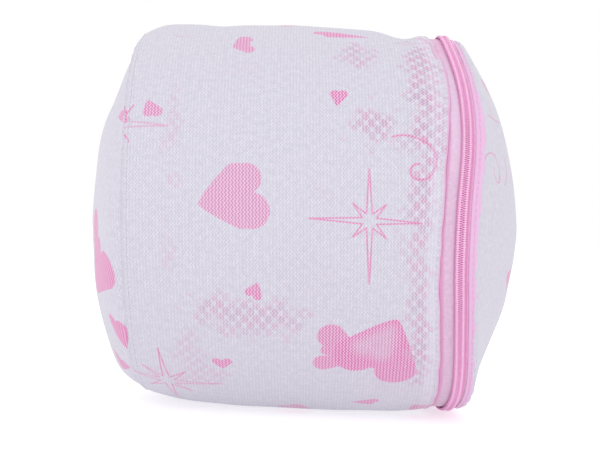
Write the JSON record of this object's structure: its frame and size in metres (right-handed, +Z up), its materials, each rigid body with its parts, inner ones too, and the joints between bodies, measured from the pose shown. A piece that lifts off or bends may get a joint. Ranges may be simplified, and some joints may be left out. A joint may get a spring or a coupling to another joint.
{
  "type": "mesh laundry bag",
  "caption": "Drum-shaped double-layer mesh wash bag with a domed base and a domed lid closed by a zip round the rim.",
  "frame": {"origin": "centre of the flat strip on which the bag rests, below the middle of its length", "axes": "+X runs along the drum from the sewn base to the lid, +Y points to the back where the fabric hinge is, +Z is up"},
  "size_m": [0.1682, 0.1547, 0.1498],
  "materials": {
    "wall_mesh": "printed fine warp-knit mesh, matt",
    "wall_net": "coarse open net, matt",
    "side_binding": "folded woven tape",
    "side_thread": "lockstitch thread",
    "base_mesh": "printed fine warp-knit mesh, matt",
    "base_net": "coarse open net, matt",
    "base_hoop": "translucent plastic cord",
    "base_binding": "folded woven tape",
    "base_thread": "lockstitch thread",
    "mouth_hoop": "translucent plastic cord",
    "mouth_binding": "folded woven tape",
    "mouth_thread": "lockstitch thread",
    "zip_tape_wall": "woven zip tape",
    "zip_coil_wall": "nylon coil, satin",
    "zip_stop_start": "moulded stop",
    "zip_stop_end": "moulded stop",
    "hinge_patch": "woven tape gusset",
    "lid_mesh": "printed fine warp-knit mesh, matt",
    "lid_net": "coarse open net, matt",
    "lid_binding": "folded woven tape",
    "lid_thread": "lockstitch thread",
    "zip_tape_lid": "woven zip tape",
    "zip_coil_lid": "nylon coil, satin",
    "slider": "enamelled die casting",
    "pull": "enamelled die casting"
  },
  "bodies": {
    "bag": {"wall_outer_panel": "wall_mesh", "wall_lining": "wall_net", "side_seam_binding": "side_binding", "side_seam_thread": "side_thread", "base_outer_panel": "base_mesh", "base_lining": "base_net", "base_rim_hoop": "base_hoop", "base_seam_binding": "base_binding", "base_seam_thread": "base_thread", "mouth_rim_hoop": "mouth_hoop", "mouth_seam_binding": "mouth_binding", "mouth_seam_thread": "mouth_thread", "zip_tape_wall": "zip_tape_wall", "zip_coil_wall": "zip_coil_wall", "zip_stop_start": "zip_stop_start", "zip_stop_end": "zip_stop_end", "hinge_patch": "hinge_patch"},
    "lid": {"lid_outer_panel": "lid_mesh", "lid_lining": "lid_net", "lid_seam_binding": "lid_binding", "lid_seam_thread": "lid_thread", "zip_tape_lid": "zip_tape_lid", "zip_coil_lid": "zip_coil_lid"},
    "slider": {"slider_body": "slider"},
    "pull": {"pull_tab": "pull"}
  },
  "joints": [
    {"name": "lid_swing", "type": "hinge", "parent": "bag", "child": "lid", "pos_m": [0.054, 0.075, 0.0743], "axis": [-0.0447, 0, 0.999], "range_deg": [0, 100]},
    {"name": "slider_travel", "type": "hinge", "parent": "bag", "child": "slider", "pos_m": [0.054, 0, 0.0743], "axis": [0.999, 0, 0.0447], "range_deg": [0, 328]},
    {"name": "pull_flip", "type": "hinge", "parent": "slider", "child": "pull", "pos_m": [0.0531, 0.07369, 0.09447], "axis": [0.999, 0, 0.0447], "range_deg": [0, 120]}
  ]
}
